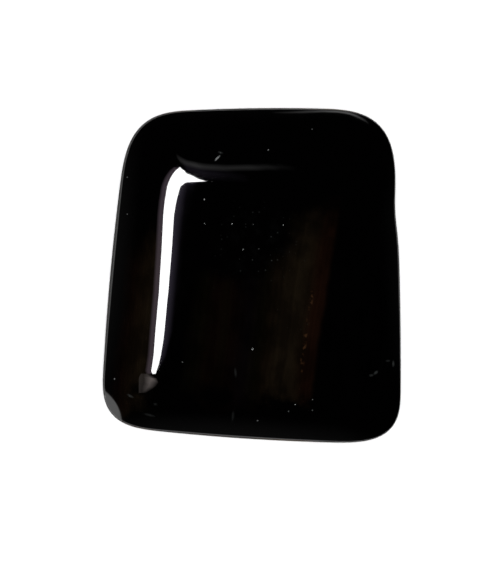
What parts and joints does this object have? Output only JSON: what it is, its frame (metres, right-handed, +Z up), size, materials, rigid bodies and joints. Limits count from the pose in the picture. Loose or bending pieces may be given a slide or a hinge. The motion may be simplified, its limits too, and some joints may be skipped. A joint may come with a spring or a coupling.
{
  "type": "banded agate cabochon",
  "caption": "Dark banded agate cut as a low cabochon: a polished, slightly tapered rectangle with round corners, a nearly flat top, soft shoulders and a flat back.",
  "frame": {"origin": "centre of the box's footprint, on the flat back that the stone lies on", "axes": "+Z up from the flat back to the dome, +Y along the stone's length towards its narrower end, +X across it"},
  "size_m": [0.0152, 0.0172, 0.0035],
  "materials": {
    "agate": "polished"
  },
  "bodies": {
    "root": {"agate_cabochon": "agate"}
  },
  "joints": []
}
